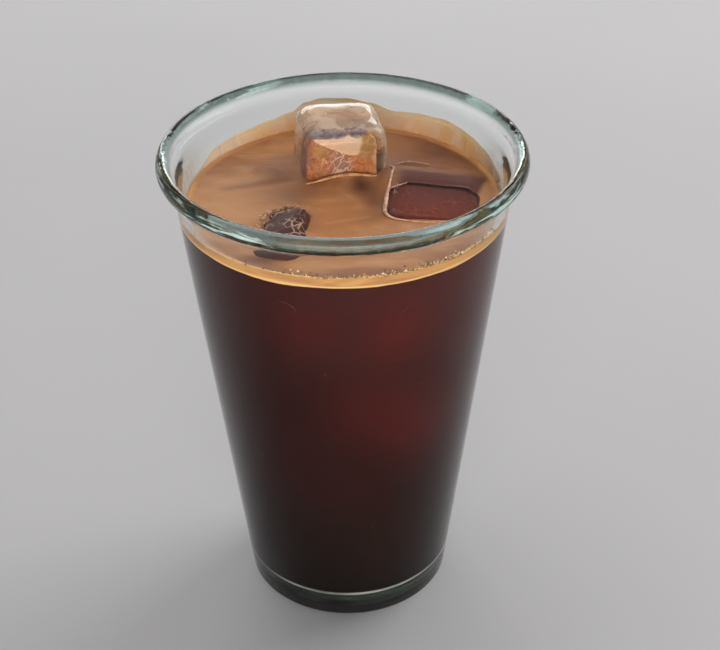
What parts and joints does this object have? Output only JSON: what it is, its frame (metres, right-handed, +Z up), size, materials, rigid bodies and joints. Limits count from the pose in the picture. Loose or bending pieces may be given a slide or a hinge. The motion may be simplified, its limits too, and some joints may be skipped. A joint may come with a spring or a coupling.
{
  "type": "iced americano in a glass tumbler",
  "caption": "Tall tapered glass tumbler with a rolled rim, filled with dark iced coffee under a tan crema layer with ice cubes at its surface.",
  "frame": {"origin": "centre of the glass's foot, on the surface it stands on", "axes": "+Z up along the glass's axis, -Y the front as in the picture, +X to its right"},
  "size_m": [0.095, 0.095, 0.134],
  "materials": {
    "clear_glass": "clear, polished, faint green tint in the rim",
    "coffee": "dark red-brown liquid, nearly opaque, glossy",
    "crema": "smooth tan foam, satin, swirled",
    "ice": "wet half-melted ice, clear, fine cracks"
  },
  "bodies": {
    "root": {"glass": "clear_glass", "coffee": "coffee", "crema": "crema", "ice_cube_back": "ice", "ice_cube_right": "ice", "ice_cube_front": "ice"}
  },
  "joints": []
}
